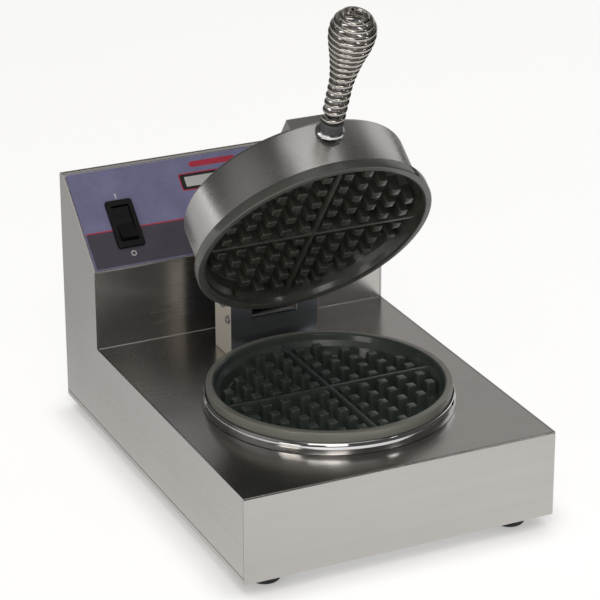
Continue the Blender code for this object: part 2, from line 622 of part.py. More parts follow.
def make_handle(lid, root, turn):
    axis = empty("handle_axis", lid, root, turn)
    lean = radians(90 - HANDLE_TILT)
    centre = (0, DRUM_RADIUS * cos(lean), -DRUM_RADIUS * sin(lean))
    drum = placed(cylinder(DRUM_RADIUS + GAP, -60, 60, 72), centre, turn_x=-turn)
    bore = STUB_RADIUS + GAP
    collar = [(bore, -6), (COLLAR_RADIUS, -6), (COLLAR_RADIUS, 3.2), (COLLAR_RADIUS - 0.6, 4.4), (bore, 4.8)]
    cut(piece("handle_collar", turned(collar, 20), axis, "chrome"), drum.copy())
    stub = [(3.4, -5), (STUB_RADIUS, -5), (STUB_RADIUS, STUB_TOP - 1), (STUB_RADIUS - 1, STUB_TOP),
            (3.4, STUB_TOP)]
    cut(piece("handle_stub", turned(stub, 16), axis, "rubber"), drum)
    piece("handle_rod", cylinder(3.0, -12, HANDLE_LENGTH - 8, 12), axis, "steel")
    nut = [(3.9, -8.4), (5.6, -8.4), (5.6, -4.4), (3.9, -4.4)]
    piece("handle_lock_nut", turned(nut, 6), axis, "steel")
    path = coil_path(STUB_TOP + GAP + WIRE / 2 + 0.2, HANDLE_LENGTH - WIRE / 2)
    piece("handle_coil", tube(path, WIRE / 2, 5), axis, "chrome")


def main():
    for obj in list(bpy.data.objects):
        bpy.data.objects.remove(obj)
    base = empty("base_frame", None, (0, -(DEPTH + GLAND_PROUD) / 2, FOOT_HEIGHT))
    make_shell(base)
    make_feet(base)
    make_controls(base)
    make_rear_fittings(base)
    make_lower_plate(base)
    make_bracket(base)
    make_lid(base)


main()
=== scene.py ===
"""Looks of a countertop baker: folded brushed steel base, sloping control panel, one round
deep-pocket grid, a hinged drum lid with the matching grid, and a coil handle.

Shapes are drawn in millimetres, in the frames set up below, and become metres when a piece is made.
"""

import json
from math import atan2, cos, degrees, hypot, pi, radians, sin, sqrt, tan

import bmesh
import bpy
from mathutils import Matrix, Vector


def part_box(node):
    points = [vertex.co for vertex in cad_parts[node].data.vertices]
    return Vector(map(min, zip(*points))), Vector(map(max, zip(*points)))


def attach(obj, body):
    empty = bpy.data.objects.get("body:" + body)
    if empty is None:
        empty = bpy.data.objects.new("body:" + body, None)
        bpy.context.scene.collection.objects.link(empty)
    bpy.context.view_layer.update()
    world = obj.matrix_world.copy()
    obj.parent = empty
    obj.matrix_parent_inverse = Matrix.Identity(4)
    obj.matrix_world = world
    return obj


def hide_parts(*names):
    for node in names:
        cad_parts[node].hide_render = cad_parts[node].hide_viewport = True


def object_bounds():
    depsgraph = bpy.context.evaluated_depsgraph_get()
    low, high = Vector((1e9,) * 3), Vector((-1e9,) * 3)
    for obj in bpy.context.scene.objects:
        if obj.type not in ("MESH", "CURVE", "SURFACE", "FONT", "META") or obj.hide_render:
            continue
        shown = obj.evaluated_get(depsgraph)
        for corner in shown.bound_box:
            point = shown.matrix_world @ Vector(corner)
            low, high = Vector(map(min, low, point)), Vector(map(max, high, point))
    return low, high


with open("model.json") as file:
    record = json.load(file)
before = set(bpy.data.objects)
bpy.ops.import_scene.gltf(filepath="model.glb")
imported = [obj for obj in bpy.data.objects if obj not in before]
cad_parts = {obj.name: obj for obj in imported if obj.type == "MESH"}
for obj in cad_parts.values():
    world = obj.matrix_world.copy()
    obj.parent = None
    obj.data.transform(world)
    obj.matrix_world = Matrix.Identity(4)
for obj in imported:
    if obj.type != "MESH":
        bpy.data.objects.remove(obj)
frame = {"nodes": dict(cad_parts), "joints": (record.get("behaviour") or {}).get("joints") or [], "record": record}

CAD_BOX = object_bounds()
MM = 0.001
GAP = 0.3           # clearance between neighbouring parts
PAST = 5.0          # how far a cutter reaches past what it cuts

# Shell, from the front apron and the shell's lower edge
SHEET = 1.2
SIDE_X = 130.0
DECK_Z = 70.9
RISER_Y = 293.9
RISER_Z = 138.3
CREST_Y = 360.9
CREST_Z = 200.4
DEPTH = 368.5
FLANGE = 34.0
HEM = 1.5
PLATE_HOLE = 97.3
REAR_SCREW_X = 121.0
REAR_SCREW_Z = (34.0, 168.0)
SCREW_HOLE = 2.4
GLAND_X = -78.0
GLAND_Z = 36.0
GLAND_HOLE = 9.3
VENT = (32.0, 2.2)
VENT_Z = 92.0
VENT_STEP = 13.0
VENTS = 6
FOOT_RECESS = 5.5

# Round grids
PLATE_Y = 127.0
RIM_Z = 87.9
CASTING_HEIGHT = 27.0
POCKET_DEPTH = 18.4
PIN_DROP = 5.5
PIN_PITCH = 16.5
PIN_FIRST = 9.0
PIN_REACH = 80.0
STUD_X = 79.0
STUD_DEPTH = 5.5
ROUND = 128
FINE_ROUND = 192

# Lid, origin on the hinge axis, drawn closed
HINGE_Y = 245.0
HINGE_Z = 118.0
OPEN_ANGLE = 53.46
LID_Y = PLATE_Y - HINGE_Y
LID_RIM_Z = RIM_Z + 1.0 - HINGE_Z
DRUM_RADIUS = 91.2
DRUM_TOP = LID_RIM_Z + 50.1
DRUM_BOTTOM = LID_RIM_Z + 8.6
ARM_SCREWS = {"rear": -50.0, "front": -86.0}
ARM_SCREW_HOLE = 2.9
COVER_X = 23.5
COVER_REAR = -30.0
COVER_FRONT = LID_Y - 80.0

# Bracket and lug
BRACKET_X = 38.7
BRACKET_SHEET = 2.0
BRACKET_Y = (229.0, 261.0)
BRACKET_TOP = 129.0
NOTCH_X = 20.0
NOTCH_Z = 103.0
LUG_X = 19.0
LUG_HEIGHT = 10.5
PIN_RADIUS = 4.0
PIN_BORE = 4.3
STOP_Y = 234.0
STOP_Z = 104.0

# Coil handle, along its own axis from the drum's wall
HANDLE_TILT = 13.4
HANDLE_OFF = 37.6
HANDLE_LENGTH = 115.5
WIRE = 3.8
COLLAR_RADIUS = 11.2
STUB_RADIUS = 9.0
STUB_TOP = 13.0
ROD_RADIUS = 3.0
ROD_HOLE = 3.6
COIL_STATIONS = ((0.0, 7.4), (0.33, 7.4), (0.42, 8.2), (0.50, 9.5), (0.58, 11.1), (0.67, 13.3),
                 (0.75, 15.3), (0.83, 16.2), (0.90, 15.4), (0.96, 11.8), (1.0, 5.8))
COIL_START = 162.0
WIDE_PITCH = 7.4
CLOSE_PITCH = 5.6
CLOSE_FROM = 0.62

# Controls on the slope: X across it, S up it from its lower edge
SLOPE_ANGLE = degrees(atan2(CREST_Z - RISER_Z, CREST_Y - RISER_Y))
SLOPE_LENGTH = hypot(CREST_Y - RISER_Y, CREST_Z - RISER_Z)
CONTROL_X = 92.2
CONTROL_S = 38.4
SWITCH_HOLE = (9.8, 19.3)
LAMP_HOLE = 6.0
FILM_X = 128.0
FILM_TOP = 0.8
INK = 0.03          # thickness of one printed layer
ROCKER_REST = 9.0


# ---------------------------------------------------------------------- frames

def shift(x, y, z):
    return Matrix.Translation(Vector((x, y, z)) * MM)


def turn(degrees, axis="X"):
    return Matrix.Rotation(radians(degrees), 4, axis)


JOINTS = {joint["name"]: Vector(joint["pos_m"]) for joint in frame["joints"]}
SHELL = Matrix.Translation((0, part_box("main_cover")[0].y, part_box("main_cover")[0].z))
SLOPE = SHELL @ shift(0, RISER_Y, RISER_Z) @ turn(SLOPE_ANGLE)
ROCKER = Matrix.Translation(JOINTS["power_switch"]) @ turn(SLOPE_ANGLE - ROCKER_REST)
LID = Matrix.Translation(JOINTS["lid_hinge"]) @ turn(-OPEN_ANGLE)
LOWER = SHELL @ shift(0, PLATE_Y, RIM_Z)
UPPER = LID @ shift(0, LID_Y, LID_RIM_Z) @ turn(180)
DRUM = LID @ shift(0, LID_Y, 0)
HANDLE = LID @ shift(0, LID_Y - DRUM_RADIUS, LID_RIM_Z + HANDLE_OFF) @ turn(90 - HANDLE_TILT)


# -------------------------------------------------------------------- finishes

class Look:
    """A procedural finish: a Principled shader and the nodes that feed it."""

    def __init__(self, name, slot, roughness, metallic=0.0, **sockets):
        self.slot = slot
        self.material = bpy.data.materials.new(name)
        self.material.use_nodes = True
        self.tree = self.material.node_tree
        self.shader = self.tree.nodes["Principled BSDF"]
        self.shader.inputs["Metallic"].default_value = metallic
        self.shader.inputs["Roughness"].default_value = roughness
        for socket, value in sockets.items():
            self.shader.inputs[socket.replace("_", " ")].default_value = value
        self.space = self.add("ShaderNodeTexCoord").outputs["Object"]

    def add(self, kind, inputs=None, **settings):
        node = self.tree.nodes.new(kind)
        for key, value in settings.items():
            setattr(node, key, value)
        for key, value in (inputs or {}).items():
            if isinstance(value, bpy.types.NodeSocket):
                self.tree.links.new(value, node.inputs[key])
            else:
                node.inputs[key].default_value = value
        return node

    def feed(self, socket, value):
        self.tree.links.new(value, self.shader.inputs[socket])

    def noise(self, stretch, detail=3.0, rough=0.55, place=0.0):
        """Noise in the piece's own space, with its frequency along X, Y and Z per metre."""
        mapped = self.add("ShaderNodeMapping",
                          {"Vector": self.space, "Scale": stretch, "Location": (place,) * 3})
        texture = self.add("ShaderNodeTexNoise", {"Vector": mapped.outputs[0], "Scale": 1.0,
                                                  "Detail": detail, "Roughness": rough})
        return texture.outputs[0]

    def cells(self, frequency, feature="F1"):
        texture = self.add("ShaderNodeTexVoronoi", {"Vector": self.space, "Scale": frequency},
                           feature=feature)
        return texture.outputs["Distance"]

    def spread(self, value, low, high, start=0.3, end=0.7):
        node = self.add("ShaderNodeMapRange", {"Value": value, "From Min": start, "From Max": end,
                                               "To Min": low, "To Max": high})
        return node.outputs[0]

    def ramp(self, value, *stops):
        node = self.add("ShaderNodeValToRGB", {"Fac": value})
        elements = node.color_ramp.elements
        while len(elements) < len(stops):
            elements.new(0.5)
        for element, (position, colour) in zip(elements, stops):
            element.position = position
            element.color = (*colour, 1.0)
        return node.outputs[0]

    def total(self, first, second):
        return self.add("ShaderNodeMath", {0: first, 1: second}, operation="ADD").outputs[0]

    def bump(self, height, strength, depth):
        """Bump whose full height is depth millimetres."""
        node = self.add("ShaderNodeBump", {"Height": height, "Strength": strength, "Distance": depth * MM})
        self.feed("Normal", node.outputs[0])


def scaled(colour, factor):
    return tuple(min(1.0, c * factor) for c in colour)


def brushed(name, grain, colour=(0.60, 0.58, 0.56), rough=(0.20, 0.30), anisotropic=0.6, relief=0.07,
            slot="brushed_steel"):
    """Satin stainless sheet. Its grain runs along X, along Y, or round the piece's Z axis."""
    look = Look(name, slot, rough[0], metallic=1.0, Anisotropic=anisotropic)
    along, across = 9.0, 1300.0
    stretch = {"x": (along, across, across), "y": (across, along, across),
               "ring": (along, along, across)}[grain]
    fine = look.noise(stretch, detail=4.0, rough=0.7)
    broad = look.noise(tuple(s * 0.16 for s in stretch), detail=2.0, place=3.7)
    smudge = look.noise((14.0, 14.0, 14.0), detail=4.0, rough=0.6, place=8.1)
    streaks = look.total(look.spread(fine, 0.0, 0.6), look.spread(broad, 0.0, 0.4))
    look.feed("Base Color", look.ramp(streaks, (0.0, scaled(colour, 0.96)), (1.0, scaled(colour, 1.03))))
    look.feed("Roughness", look.total(look.spread(fine, *rough), look.spread(smudge, -0.02, 0.04)))
    look.bump(fine, relief, 0.008)
    tangent = look.add("ShaderNodeTangent", direction_type="UV_MAP", uv_map="brush")
    look.feed("Tangent", tangent.outputs[0])
    return look


def polished(name, colour=(0.80, 0.80, 0.80), rough=(0.05, 0.11), slot="chrome"):
    """Bright plating with faint wiping marks."""
    look = Look(name, slot, rough[0], metallic=1.0)
    wiped = look.noise((90.0, 90.0, 22.0), detail=5.0, rough=0.65)
    look.feed("Base Color", look.ramp(wiped, (0.25, scaled(colour, 0.92)), (0.8, colour)))
    look.feed("Roughness", look.spread(wiped, *rough))
    look.bump(look.noise((240.0, 240.0, 240.0), detail=2.0), 0.03, 0.02)
    return look


def plain_metal(name, slot, colour, rough, grit=420.0, depth=0.03):
    """Dull metal with a fine uneven surface."""
    look = Look(name, slot, rough[0], metallic=1.0)
    blotch = look.noise((55.0, 55.0, 55.0), detail=5.0, rough=0.6)
    look.feed("Base Color", look.ramp(blotch, (0.25, scaled(colour, 0.78)), (0.75, scaled(colour, 1.08))))
    look.feed("Roughness", look.spread(blotch, *rough))
    look.bump(look.noise((grit, grit, grit), detail=3.0), 0.2, depth)
    return look


def galvanised(name, slot, colour):
    """Zinc-coated sheet with its spangle."""
    look = Look(name, slot, 0.4, metallic=1.0)
    spangle = look.cells(110.0)
    look.feed("Base Color", look.ramp(spangle, (0.1, scaled(colour, 0.85)), (0.7, scaled(colour, 1.1))))
    look.feed("Roughness", look.spread(spangle, 0.30, 0.48, 0.1, 0.7))
    look.bump(look.noise((500.0, 500.0, 500.0)), 0.08, 0.02)
    return look


WEAR_AND_LIGHT_FROM = (0.0905, 0.0925)      # radii in metres, where a grid's rim turns paler


def cast(name, dark, light, worn, rough=(0.34, 0.48), slot="black_casting"):
    """Seasoned black casting: mottled, slightly oily, sand-grained, and paler along its rim, from wear and, in the
    lower grid's bright rim, painted highlight.
    """
    look = Look(name, slot, rough[0], Coat_Weight=0.6, Coat_Roughness=0.12, Specular_IOR_Level=0.6)
    mottle = look.noise((70.0, 70.0, 70.0), detail=6.0, rough=0.62)
    stain = look.noise((16.0, 16.0, 16.0), detail=3.0, place=5.3)
    flat = look.add("ShaderNodeVectorMath", {0: look.space, 1: (1.0, 1.0, 0.0)}, operation="MULTIPLY")
    radius = look.add("ShaderNodeVectorMath", {0: flat.outputs[0]}, operation="LENGTH").outputs["Value"]
    rim = look.spread(radius, 0.0, 1.0, *WEAR_AND_LIGHT_FROM)
    black = look.ramp(look.total(look.spread(mottle, 0.0, 0.65), look.spread(stain, 0.0, 0.35)),
                      (0.1, dark), (0.9, light))
    # The rim's pale tone: wear, and in the lower grid also painted highlight
    rim_wear_and_light = look.ramp(stain, (0.3, scaled(worn, 0.8)), (0.7, worn))
    blend = look.add("ShaderNodeMix", {0: rim, 6: black, 7: rim_wear_and_light}, data_type="RGBA")
    look.feed("Base Color", blend.outputs[2])
    look.feed("Roughness", look.spread(look.noise((130.0, 130.0, 130.0), detail=5.0), *rough))
    look.bump(look.noise((850.0, 850.0, 850.0), detail=3.0, rough=0.6), 0.22, 0.05)
    return look


def moulded(name, slot, colour, rough, grain, strength, **sockets):
    """Moulded plastic or rubber with a surface grain of the given frequency."""
    look = Look(name, slot, rough[0], **sockets)
    cloud = look.noise((45.0, 45.0, 45.0), detail=4.0)
    look.feed("Base Color", look.ramp(cloud, (0.25, scaled(colour, 0.85)), (0.75, scaled(colour, 1.2))))
    look.feed("Roughness", look.spread(look.noise((180.0, 180.0, 180.0), detail=4.0), *rough))
    look.bump(look.noise((grain, grain, grain), detail=2.0), strength, 0.04)
    return look


def fibrous(name, slot, colour):
    """Pressed mineral fibre."""
    look = Look(name, slot, 0.9, Sheen_Weight=0.2)
    strands = look.noise((500.0, 900.0, 140.0), detail=6.0, rough=0.75)
    look.feed("Base Color", look.ramp(strands, (0.3, scaled(colour, 0.7)), (0.7, colour)))
    look.feed("Roughness", look.spread(strands, 0.85, 0.98))
    look.bump(strands, 0.8, 0.5)
    return look


SHEET_X = brushed("sheet_grain_across", "x", rough=(0.20, 0.26))
SHEET_Y = brushed("sheet_grain_deep", "y", rough=(0.22, 0.28))
SHEET_RING = brushed("sheet_grain_round", "ring", colour=(0.61, 0.60, 0.585), rough=(0.25, 0.28),
                     relief=0.03)
COVER_LOOK = brushed("cover_sheet", "x", colour=(0.385, 0.375, 0.365), rough=(0.32, 0.40))
# The bracket is one sheet in two copies: its front plate painted dark as painted shade, its flanges painted pale
# as painted light from the left
SHADED_BRACKET_LOOK = brushed("bracket_front", "x", colour=(0.40, 0.42, 0.46), rough=(0.32, 0.42), anisotropic=0.2)
LIT_FLANGE_LOOK = brushed("bracket_flange", "x", colour=(0.96, 0.90, 0.79), rough=(0.48, 0.58), anisotropic=0.2)
LIT_FLANGE_LOOK.shader.inputs["Metallic"].default_value = 0.15      # dull, with a cream tint, and pale as painted light from the left
CHROME = polished("bright_plate")
NICKEL = polished("bright_nickel", colour=(0.60, 0.57, 0.53), rough=(0.07, 0.13))
ZINC = plain_metal("zinc_steel", "steel", (0.52, 0.52, 0.53), (0.24, 0.38))
# Cast metal painted near black so the lug, seen through the bracket's notch, reads black: painted shade
LUG_SHADE_LOOK = plain_metal("dark_cast_metal", "bare_casting", (0.055, 0.055, 0.057), (0.42, 0.58), depth=0.12)
BRASS_LOOK = plain_metal("brass_sleeve", "brass", (0.70, 0.52, 0.22), (0.22, 0.36))
ELEMENT_LOOK = plain_metal("oxidised_sheath", "steel", (0.16, 0.15, 0.14), (0.45, 0.62))
PAN_LOOK = galvanised("spangled_sheet", "steel", (0.50, 0.51, 0.52))
# One casting in two copies: the lower one painted lighter, with a bright rim, as painted light; the upper one
# painted darker as painted shade
LIT_CAST_LOWER = cast("seasoned_casting_lower", dark=(0.046, 0.064, 0.055), light=(0.094, 0.118, 0.102),
                  worn=(0.33, 0.335, 0.285))
SHADED_CAST_UPPER = cast("seasoned_casting_upper", dark=(0.028, 0.031, 0.022), light=(0.060, 0.063, 0.048),
                  worn=(0.105, 0.107, 0.094))
RUBBER = moulded("black_rubber", "rubber", (0.018, 0.018, 0.018), (0.65, 0.82), 700.0, 0.35)
STUB_LOOK = moulded("black_stub", "rubber", (0.105, 0.105, 0.110), (0.25, 0.38), 600.0, 0.2)
GLOSS = moulded("black_gloss", "black_plastic", (0.009, 0.009, 0.010), (0.30, 0.40), 350.0, 0.05,
                Specular_IOR_Level=0.25)
SATIN = moulded("black_satin", "black_plastic", (0.020, 0.020, 0.022), (0.28, 0.40), 900.0, 0.15)
VIOLET = moulded("overlay_violet", "overlay", (0.300, 0.295, 0.515), (0.34, 0.42), 1500.0, 0.10)
CHARCOAL = moulded("overlay_charcoal", "overlay", (0.100, 0.086, 0.118), (0.34, 0.42), 1500.0, 0.10)
RED = moulded("overlay_red", "overlay", (0.72, 0.045, 0.095), (0.30, 0.38), 1500.0, 0.08)
WHITE = moulded("overlay_white", "overlay", (0.88, 0.88, 0.88), (0.30, 0.38), 1500.0, 0.08)
BLACK_INK = moulded("overlay_black", "overlay", (0.012, 0.012, 0.014), (0.30, 0.38), 1500.0, 0.08)
AMBER = moulded("amber_lens_plastic", "amber_lens", (0.62, 0.20, 0.02), (0.08, 0.16), 500.0, 0.05,
                Transmission_Weight=0.35, Coat_Weight=0.6)
WOOL = fibrous("mineral_fibre", "mineral_wool", (0.70, 0.68, 0.60))
CERAMIC_LOOK = moulded("glazed_ceramic", "ceramic", (0.72, 0.70, 0.64), (0.25, 0.4), 300.0, 0.1)


# ---------------------------------------------------------------------- shapes

def box(low, high):
    bm = bmesh.new()
    bmesh.ops.create_cube(bm, size=1.0)
    bmesh.ops.scale(bm, vec=[high[i] - low[i] for i in range(3)], verts=bm.verts)
    bmesh.ops.translate(bm, vec=[(high[i] + low[i]) / 2 for i in range(3)], verts=bm.verts)
    return bm


def filleted(points, radius=0.0, steps=4, closed=False):
    """A line of 2D points with its corners rounded. A point may carry its own radius as a third number."""
    count = len(points)
    result = []
    for i, point in enumerate(points):
        corner = Vector(point[:2])
        size = point[2] if len(point) > 2 else radius
        if (not closed and i in (0, count - 1)) or size <= 0:
            result.append(tuple(corner))
            continue
        before = Vector(points[i - 1][:2]) - corner
        after = Vector(points[(i + 1) % count][:2]) - corner
        half = before.angle(after) / 2
        if half > pi / 2 - 0.01:
            result.append(tuple(corner))
            continue
        reach = min(size / tan(half), before.length * 0.48, after.length * 0.48)
        size = reach * tan(half)
        before.normalize()
        after.normalize()
        centre = corner + (before + after).normalized() * (size / sin(half))
        start = corner + before * reach - centre
        sweep = start.angle_signed(corner + after * reach - centre)
        for k in range(steps + 1):
            spoke = start.copy()
            spoke.rotate(Matrix.Rotation(-sweep * k / steps, 2))
            result.append(tuple(centre + spoke))
    return result


def prism(outline, low, high, plane="yz"):
    """A flat outline in the YZ, XZ or XY plane, extruded along the third axis."""
    lay = {"yz": lambda p, w: (w, p[0], p[1]), "xz": lambda p, w: (p[0], w, p[1]),
           "xy": lambda p, w: (p[0], p[1], w)}[plane]
    bm = bmesh.new()
    ends = [[bm.verts.new(lay(p, w)) for p in outline] for w in (low, high)]
    for ring in ends:
        bm.faces.new(ring)
    for i in range(len(outline)):
        j = (i + 1) % len(outline)
        bm.faces.new((ends[0][i], ends[0][j], ends[1][j], ends[1][i]))
    return bm


def lofted(rings):
    """A closed skin through rings of points, with flat ends."""
    bm = bmesh.new()
    made = [[bm.verts.new(p) for p in ring] for ring in rings]
    for lower, upper in zip(made, made[1:]):
        for i in range(len(lower)):
            j = (i + 1) % len(lower)
            bm.faces.new((lower[i], lower[j], upper[j], upper[i]))
    bm.faces.new(made[0])
    bm.faces.new(made[-1])
    return bm


def turned(profile, segments=ROUND):
    """A (radius, z) profile turned about Z. It closes on itself unless both ends lie on the axis."""
    solid = profile[0][0] == 0 and profile[-1][0] == 0
    bm = bmesh.new()
    rings = []
    for radius, z in (profile[1:-1] if solid else profile):
        rings.append([bm.verts.new((radius * cos(2 * pi * i / segments),
                                    radius * sin(2 * pi * i / segments), z)) for i in range(segments)])
    pairs = list(zip(rings, rings[1:]))
    if not solid:
        pairs.append((rings[-1], rings[0]))
    for lower, upper in pairs:
        for i in range(segments):
            j = (i + 1) % segments
            bm.faces.new((lower[i], lower[j], upper[j], upper[i]))
    if solid:
        bm.faces.new(rings[0])
        bm.faces.new(rings[-1])
    return bm


def tube(path, radius, sides=16):
    """A round bar along a list of points, with domed ends."""
    points = [Vector(p) for p in path]
    rings = []
    side = Vector((0, 0, 1))
    last = len(points) - 1
    for i, point in enumerate(points):
        along = (points[min(i + 1, last)] - points[max(i - 1, 0)]).normalized()
        if abs(along.dot(side)) > 0.95:
            side = Vector((0, 1, 0))
        side = (side - along * along.dot(side)).normalized()
        across = along.cross(side)
        domes = ((0.0, 1.0),)
        if i == 0:
            domes = ((-0.95, 0.3), (-0.7, 0.7), (0.0, 1.0))
        if i == last:
            domes = ((0.0, 1.0), (0.7, 0.7), (0.95, 0.3))
        for push, share in domes:
            spokes = [cos(2 * pi * k / sides) * side + sin(2 * pi * k / sides) * across
                      for k in range(sides)]
            rings.append([point + along * (push * radius) + radius * share * spoke for spoke in spokes])
    return lofted(rings)


def rounded_rectangle(half_x, half_y, radius, centre=(0, 0), steps=5):
    outline = []
    for quarter, (i, j) in enumerate(((1, 1), (-1, 1), (-1, -1), (1, -1))):
        for k in range(steps + 1):
            angle = (quarter + k / steps) * pi / 2
            outline.append((centre[0] + i * (half_x - radius) + radius * cos(angle),
                            centre[1] + j * (half_y - radius) + radius * sin(angle)))
    return outline


def disc(radius, centre=(0, 0), count=48):
    return [(centre[0] + radius * cos(2 * pi * i / count),
             centre[1] + radius * sin(2 * pi * i / count)) for i in range(count)]


def placed(bm, location=(0, 0, 0), turn_x=0.0, turn_y=0.0):
    """Turns a shape about X, then about Y, and moves it."""
    matrix = Matrix.Translation(location) @ turn(turn_y, "Y") @ turn(turn_x)
    bmesh.ops.transform(bm, matrix=matrix, verts=bm.verts)
    return bm


def gathered(shapes):
    """Several closed shapes that don't overlap, in one mesh."""
    whole = bmesh.new()
    for shape in shapes:
        bmesh.ops.recalc_face_normals(shape, faces=shape.faces)
        scratch = bpy.data.meshes.new("scratch")
        shape.to_mesh(scratch)
        shape.free()
        whole.from_mesh(scratch)
        bpy.data.meshes.remove(scratch)
    return whole


def combined(first, second, operation="DIFFERENCE"):
    """One closed shape cut by another, or joined to it."""
    made = []
    for bm in (first, second):
        bmesh.ops.recalc_face_normals(bm, faces=bm.faces)
        mesh = bpy.data.meshes.new("scratch")
        bm.to_mesh(mesh)
        bm.free()
        obj = bpy.data.objects.new("scratch", mesh)
        bpy.context.scene.collection.objects.link(obj)
        made.append(obj)
    modifier = made[0].modifiers.new("Combine", "BOOLEAN")
    modifier.operation = operation
    modifier.object = made[1]
    modifier.solver = "EXACT"
    graph = bpy.context.evaluated_depsgraph_get()
    whole = bmesh.new()
    whole.from_mesh(made[0].evaluated_get(graph).to_mesh())
    for obj in made:
        mesh = obj.data
        bpy.data.objects.remove(obj)
        bpy.data.meshes.remove(mesh)
    return whole


def folded(path, thickness):
    """The outline of a sheet that follows a line of points, thickened to the line's right."""
    points = [Vector(p) for p in path]
    normals = []
    for start, end in zip(points, points[1:]):
        along = (end - start).normalized()
        normals.append(Vector((along.y, -along.x)))
    inner = []
    for i, point in enumerate(points):
        mitre = normals[max(i - 1, 0)] + normals[min(i, len(normals) - 1)]
        inner.append(point + mitre * (2 * thickness / mitre.length_squared))
    return [tuple(p) for p in points + inner[::-1]]


# ---------------------------------------------------------------------- pieces

def body_of(node):
    return next(body for body, nodes in frame["record"]["behaviour"]["bodies"].items() if node in nodes)


def brush_map(mesh, grain):
    """A UV map with U across the grain, which gives the shader its tangent."""
    layer = mesh.uv_layers.new(name="brush")
    for face in mesh.polygons:
        if grain == "ring":
            line = Vector((-face.center.y, face.center.x, 0))
        else:
            line = Vector((1, 0, 0)) if grain == "x" else Vector((0, 1, 0))
        across = face.normal.cross(line)
        if across.length < 0.2:
            across = face.normal.orthogonal()
        across.normalize()
        line = across.cross(face.normal)
        for index in face.loop_indices:
            point = mesh.vertices[mesh.loops[index].vertex_index].co
            layer.data[index].uv = (point.dot(across) * 8, point.dot(line) * 8)


def piece(node, shape, place, look, edge=0.0, grain=None, facets=2, sharp=32):
    """One visible piece that stands for a CAD node. shape is a bmesh, or a list of (bmesh, look)."""
    layers = shape if isinstance(shape, list) else [(shape, look)]
    mesh = bpy.data.meshes.new(node + "_finished")
    whole = bmesh.new()
    for index, (bm, own) in enumerate(layers):
        bmesh.ops.recalc_face_normals(bm, faces=bm.faces)
        for face in bm.faces:
            face.material_index = index
        scratch = bpy.data.meshes.new("scratch")
        bm.to_mesh(scratch)
        bm.free()
        whole.from_mesh(scratch)
        bpy.data.meshes.remove(scratch)
        mesh.materials.append(own.material)
    whole.to_mesh(mesh)
    whole.free()
    mesh.transform(Matrix.Scale(MM, 4))
    mesh.shade_smooth()
    obj = bpy.data.objects.new(node + "_finished", mesh)
    bpy.context.scene.collection.objects.link(obj)
    if place is HANDLE:
        # The handle leans, and a leaning object's own box would be larger than the piece
        mesh.transform(place)
    else:
        obj.matrix_world = place
    if grain:
        brush_map(mesh, grain)
    if edge:
        soften(obj, edge, facets)
    else:
        mesh.set_sharp_from_angle(angle=radians(sharp))
    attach(obj, body_of(node))
    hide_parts(node)
    return obj


def soften(obj, edge, facets=2):
    """Rounds the sharp edges by edge millimetres and keeps the flats flat."""
    bevel = obj.modifiers.new("Edges", "BEVEL")
    bevel.width = edge * MM
    bevel.segments = facets
    bevel.limit_method = "ANGLE"
    bevel.angle_limit = radians(38)
    bevel.use_clamp_overlap = True
    normals = obj.modifiers.new("Normals", "WEIGHTED_NORMAL")
    normals.keep_sharp = True
    normals.weight = 80


def dress(node, look, edge=0.0):
    """Gives a CAD node its finish, and rounds its edges where they show."""
    obj = frame["nodes"][node]
    obj.data.materials.clear()
    obj.data.materials.append(look.material)
    if edge:
        weld = obj.modifiers.new("Weld", "WELD")
        weld.merge_threshold = 0.00001
        soften(obj, edge)


def screw_shape(head, shank, length, rise=0.62, recess=0.52):
    """A pan-head screw along Z with a cross recess; its head starts at Z 0."""
    top = head * rise
    profile = [(0, -length), (shank * 0.8, -length), (shank, -length + 0.5), (shank, 0), (head, 0),
               (head, top * 0.35), (head * 0.93, top * 0.66), (head * 0.74, top * 0.88),
               (head * 0.42, top), (0, top)]
    body = turned(profile, 40)
    low, wide, thin = top * 0.25, head * recess, head * 0.13
    for half_x, half_y in ((wide, thin), (thin, wide)):
        rings = [[(i * half_x * k, j * half_y * k, z) for i, j in ((-1, -1), (1, -1), (1, 1), (-1, 1))]
                 for z, k in ((low, 0.55), (top + 1, 1.25))]
        body = combined(body, lofted(rings))
    return body


# ----------------------------------------------------------------------- shell

def sheet_path():
    """The folded cover's outside line, from the apron's hem over the deck and slope to the rear flange."""
    return [(12, 0), (0, 0, 1.5), (0, DECK_Z, 1.5), (RISER_Y, DECK_Z, 0.8), (RISER_Y, RISER_Z, 2.0),
            (CREST_Y, CREST_Z, 2.0), (DEPTH - HEM, CREST_Z, 2.0), (DEPTH - HEM, CREST_Z - 12)]


def switch_hole(depth):
    """Cutter for the switch's opening, drawn on the slope."""
    half_x, half_y = SWITCH_HOLE
    return box((-CONTROL_X - half_x, CONTROL_S - half_y, -depth),
               (-CONTROL_X + half_x, CONTROL_S + half_y, depth))


def lamp_hole(depth):
    """Cutter for the lamp's opening, drawn on the slope."""
    return prism(disc(LAMP_HOLE, (CONTROL_X, CONTROL_S)), -depth, depth, "xy")


def slope_cutter(bm):
    """Moves a cutter drawn on the slope into the shell's frame."""
    return placed(bm, (0, RISER_Y, RISER_Z), turn_x=SLOPE_ANGLE)


def through_rear(outline):
    """Cutter through the rear panel."""
    return prism(outline, DEPTH - PAST, DEPTH + PAST, "xz")


